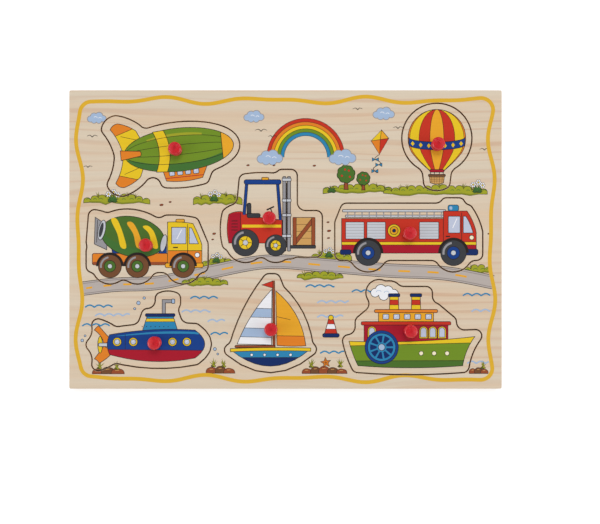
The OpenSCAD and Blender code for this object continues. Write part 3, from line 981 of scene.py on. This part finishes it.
def round_tree(p, x, y, k=1):
    """A tree on a short trunk."""
    trunk = [(-1.3, 0, -0.05), (1.3, 0), (0.8, 6), (-0.8, 6)]
    p.shape(bowed(*[(x + k * dx, y + k * dy, *bow) for dx, dy, *bow in trunk]), "rust")
    turns = [math.radians(angle + 12) for angle in range(0, 360, 45)]
    p.lobes([(*around(x, y + 9 * k, 2.9 * k, a), 2.4 * k) for a in turns], "forest")
    p.fill(circle(x, y + 9 * k, 3.4 * k), "forest")
    p.fill(circle(x - 1 * k, y + 10.2 * k, 2.2 * k), "leaf")
    for dx, dy in ((-2.4, 8), (1.6, 11), (2.2, 7.4), (-0.6, 11.6)):
        p.fill(circle(x + dx * k, y + dy * k, 0.62 * k), "red")


def pebble(p, x, y, r):
    p.shape(ellipse(x, y, r, r * 0.5, 8), "rust", 0.26)


def swell(p, x0, x1, y, ink):
    """A long wave line with round crests."""
    count = max(8, round((x1 - x0) * 1.6))
    points = []
    for k in range(count + 1):
        x = x0 + (x1 - x0) * k / count
        points.append((x, y + 1.5 * abs(math.sin((x - x0) * math.pi / 6.4))))
    p.line(points, 1, ink)


def starfish(p, x, y, r):
    turns = [math.radians(98 + 36 * k) for k in range(10)]
    p.shape([around(x, y, r * 0.45 if k % 2 else r, a) for k, a in enumerate(turns)], "orange", 0.34)
    for a in turns[::2]:
        p.line([(x, y), around(x, y, r * 0.6, a)], 0.26)


def buoy(p):
    p.shape([(-4.6, 0), (4.6, 0), (1.7, 10.6), (-1.7, 10.6)], "red")
    p.fill([(-3.2, 4), (3.2, 4), (2.2, 7.4), (-2.2, 7.4)], "white")
    p.line([(-3.4, 3.9), (3.4, 3.9)], 0.3)
    p.line([(-2.4, 7.4), (2.4, 7.4)], 0.3)
    p.disc(0, 11.8, 1.7, "yellow")
    p.block(-5.8, -1.8, 5.8, 0.8, 1.2, "navy")


def rocks(p, x0, x1, y, height, seed):
    """A brown mound of stones on the bed of the water."""
    rng = random.Random(seed)
    n = max(3, round((x1 - x0) / 6))
    step = (x1 - x0) / n
    for k in range(n):
        x = x0 + step * (k + 0.5)
        tall = height * (0.55 + 0.45 * math.sin(math.pi * (k + 0.5) / n)) * rng.uniform(0.8, 1)
        half = step * rng.uniform(0.56, 0.7)
        stone = bowed((x - half, y), (x + half, y, 0.22), (x + half * 0.3, y + tall, 0.1),
                      (x - half * 0.5, y + tall, 0.2))
        p.shape(stone, "brown" if k % 2 else "rust", 0.3)
        p.line([(x - half * 0.4, y + tall * 0.7), (x + half * 0.2, y + tall * 0.75)], 0.4, "tan")


def road(p):
    """A grey road under the land vehicles, with dark edges and yellow dashes."""
    way = curve([(-141.4, -34.2), (-118, -31.4), (-88, -30), (-52, -22.4), (-12, -15.4), (28, -18),
                 (70, -21.4), (110, -23.4), (144, -29.6)], False, 10)
    p.line(way, 9.8, "line")
    p.line(way, 9, "road")
    for aside in (3.5, -3.5):
        p.line([(x, y + aside) for x, y in way], 0.6, "kerb")
    for k in range(2, len(way) - 4, 5):
        p.line(way[k:k + 3], 1.3, "amber")


def water(p):
    for row in ((-139, -120, -47), (-66, -47, -41), (14, 34, -33), (46, 62, -36.4), (123, 142, -39),
                (-52, -40, -66), (24, 42, -79), (-141, -122, -60)):
        swell(p, *row, "teal")
    for row in ((-132, -108, -53), (-72, -52, -50.4), (22, 44, -44), (129, 142, -50), (22, 40, -54),
                (-54, -42, -57), (126, 141, -86)):
        swell(p, *row, "sky")
    for row in ((-102, -44, 1.3), (-98, -40.6, 0.9), (-104.6, -48, 0.8), (-141, -70, 1), (-139, -66.8, 0.7),
                (-49, -76, 1.1), (-47, -79.4, 0.7)):
        p.disc(*row, "sky", 0.3)


def seabed(p):
    for row in ((-133, -113, -93.2, 4.6, 5), (-54, -36, -92.8, 5.2, 6), (12, 42, -93, 5.4, 7),
                (128, 140, -93, 4.8, 9)):
        rocks(p, *row)
    for x, y, seed in ((-129, -89.6, 1), (-117, -90, 2), (-50, -88.2, 3), (-43, -88.4, 4), (18, -88.6, 5),
                       (38, -88.4, 6), (137, -89.4, 7)):
        tuft(p, x, y, 1.35, random.Random(seed))
    starfish(p, 28, -85.4, 3.6)
    buoy(p.at(31.5, -66))


def background(p):
    """The whole print of the board but for the eight pictures."""
    for row in ((-58, -32, -19.4, 5.6, 11), (18, 46, -14.6, 5.4, 12), (124, 143, -23.4, 5, 13)):
        hedge(p, *row)
    road(p)
    for row in ((-72, -40, -31.6, 3.8, 14), (8, 40, -27.4, 4, 15), (-140, -94, 25, 5.6, 1),
                (-64, -30, 24.6, 6.2, 2), (26, 74, 32.6, 5, 4), (68, 140, 31.2, 5.6, 3)):
        hedge(p, *row)
    for row in ((-120, 26, 1), (133, 32.6, 1), (-49.6, 26.6, 0.9), (-48, -16, 0.8), (30, -12.4, 0.8),
                (32, 32.6, 0.85, False)):
        bush(p, *row)
    round_tree(p, 42, 34.6, 1.2)
    round_tree(p, 54, 34.2, 0.9)
    rainbow(p, 14, 57, 27)
    for row in ((-11, 56.4, 0.95), (39.4, 56.6, 1), (-22, 85, 0.75), (68, 87, 0.8), (-131, 84, 0.7)):
        cloud(p, *row)
    kite(p.at(65, 67))
    for row in ((-17, 75, 1), (-9, 71, 0.7), (78, 77, 0.8), (-134, 71, 0.9), (-137, 50, 0.7), (50, 90, 0.8),
                (138, 62, 0.8)):
        bird(p, *row)
    for row in ((-49.5, 4, 1.2), (-50.5, 0, 0.8), (29.5, 12, 0.9), (30.2, 6, 1.3), (29.8, 1, 0.9),
                (-86, 24, 1.3), (-80, 26, 0.9), (141, 4, 0.8), (-26, 51.5, 1), (-8, 51.4, 0.8),
                (20, 51.2, 1)):
        pebble(p, *row)
    water(p)
    seabed(p)
    border(p)


DRAWINGS = {
    "airship": airship, "balloon": balloon, "mixer": mixer, "forklift": forklift,
    "fire_engine": fire_engine, "submarine": submarine, "sailboat": sailboat, "steamboat": steamboat,
}


# From shapes to thin ink skins on the wood

INK_LIFT = 0.04
INK_T = 0.06
INK_EDGE = 0.2
EASED_EDGE = 0.15
# The print leaves this radius free under a knob's foot
KNOB_HOLE_R = 3.8
AIRSHIP_TURN = 6.0
# Points of the print nearer than this are one
SAME_POINT = 1e-5


def top_loops(node):
    """The outlines of a node's upper face in millimetres, the largest first."""
    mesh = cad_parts[node].data
    runs = {}
    for polygon in mesh.polygons:
        if polygon.normal.z > 0.9 and abs(polygon.center.z - TOP_Z) < 0.2 * MM:
            corners = [tuple(round(c / MM, 4) for c in mesh.vertices[v].co[:2]) for v in polygon.vertices]
            for a, b in sides(corners):
                if not runs.pop((b, a), False):
                    runs[(a, b)] = True
    step = dict(runs.keys())
    loops = []
    while step:
        start, here = step.popitem()
        loop = [start]
        while here != start:
            loop.append(here)
            here = step.pop(here)
        loops.append(loop)
    return sorted(loops, key=lambda loop: -abs(area(loop)))


def reach_of(points):
    """The lowest and the highest x and y."""
    return np.min(points, axis=0), np.max(points, axis=0)


def overlap(a, b):
    return (a[0] < b[1]).all() and (b[0] < a[1]).all()


def inside(outline, places):
    """Which of the places an outline winds round."""
    x, y = places.T
    turns = np.zeros(len(places), int)
    for (ax, ay), (bx, by) in sides(outline):
        if ay == by:
            continue
        crossed = (y >= min(ay, by)) & (y < max(ay, by)) & (ax + (bx - ax) * (y - ay) / (by - ay) > x)
        turns[crossed] += 1 if by > ay else -1
    return turns != 0


def skin(name, body, shapes, keep, gaps, inks):
    """One thin sheet of ink: where shapes overlap, the one painted last shows."""
    limits = reach_of(keep)
    shapes = [s for s in shapes if overlap(reach_of(s[0]), limits)]
    points = []
    edges = []
    for loop in [keep] + gaps + [s[0] for s in shapes]:
        first = len(points)
        count = len(loop)
        points += [Vector(q) for q in loop]
        edges += [(first + k, first + (k + 1) % count) for k in range(count)]
    made, _, triangles, *_ = geometry.delaunay_2d_cdt(points, edges, [], 0, SAME_POINT)
    places = np.array([[made[v] for v in triangle] for triangle in triangles]).mean(axis=1)
    kept = inside(keep, places)
    for gap in gaps:
        kept &= ~inside(gap, places)
    top = np.full(len(triangles), -1)
    for k, (outline, _) in enumerate(shapes):
        low, high = reach_of(outline)
        near = np.flatnonzero(kept & (places > low).all(axis=1) & (places < high).all(axis=1))
        top[near[inside(outline, places[near])]] = k
    palette = sorted({shapes[k][1] for k in top if k >= 0})
    used = {}
    faces = []
    slots = []
    for triangle, k in zip(triangles, top):
        if k >= 0:
            faces.append([used.setdefault(v, len(used)) for v in triangle])
            slots.append(palette.index(shapes[k][1]))
    height = TOP_Z + INK_LIFT * MM
    mesh = bpy.data.meshes.new(name)
    mesh.from_pydata([(made[v].x * MM, made[v].y * MM, height) for v in used], [], faces)
    for ink in palette:
        mesh.materials.append(inks[ink])
    mesh.polygons.foreach_set("material_index", slots)
    sheet = new_object(name, mesh)
    with_settings(sheet.modifiers.new("thickness", "SOLIDIFY"), thickness=INK_T * MM, offset=-1)
    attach(sheet, body)


def print_everything(inks):
    page = Picture()
    background(page)
    board_loop, *recesses = top_loops("front_board")
    skin("print_board", "tray", page.shapes, grown(ccw(board_loop), -INK_EDGE),
         [grown(ccw(loop), INK_EDGE) for loop in recesses], inks)
    for motif in DRAWINGS:
        low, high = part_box("knob_" + motif)
        x = (low.x + high.x) / 2 / MM
        y = (low.y + high.y) / 2 / MM
        picture = Picture(x, y, AIRSHIP_TURN if motif == "airship" else 0)
        DRAWINGS[motif](picture)
        outline = ccw(top_loops("piece_" + motif)[0])
        skin("print_" + motif, motif, page.shapes + picture.shapes, grown(outline, -INK_EDGE),
             [circle(x, y, KNOB_HOLE_R)], inks)


def ease_edges(node):
    """The saw's burr is sanded off: a narrow bevel along the sharp edges, which shows the burnt brown."""
    with_settings(node.modifiers.new("weld", "WELD"), merge_threshold=0.001 * MM)
    with_settings(node.modifiers.new("bevel", "BEVEL"), width=EASED_EDGE * MM, segments=1, loop_slide=False,
                  use_clamp_overlap=False, limit_method="ANGLE", angle_limit=math.radians(60))


def dress_nodes(pine):
    front_low, front_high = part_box("front_board")
    back_low, back_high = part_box("backing_board")
    by_prefix = {
        "front_board": wood_material("front_pine", pine, front_low.z, front_high.z, True),
        "backing_board": backing_material(back_low.z, back_high.z),
        "piece": wood_material("piece_pine", pine, front_low.z, front_high.z, False),
        "knob": knob_material(),
        "screw": screw_material(),
    }
    for name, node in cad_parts.items():
        material = by_prefix.get(name) or by_prefix[name.split("_")[0]]
        node.data.materials.clear()
        node.data.materials.append(material)
        if name == "front_board" or name.startswith("piece"):
            ease_edges(node)


make_camera()
make_floor()
make_room()
make_lights()
pine = pine_group()
dress_nodes(pine)
print_everything({name: ink_material(name, levels, pine) for name, levels in INKS.items()})
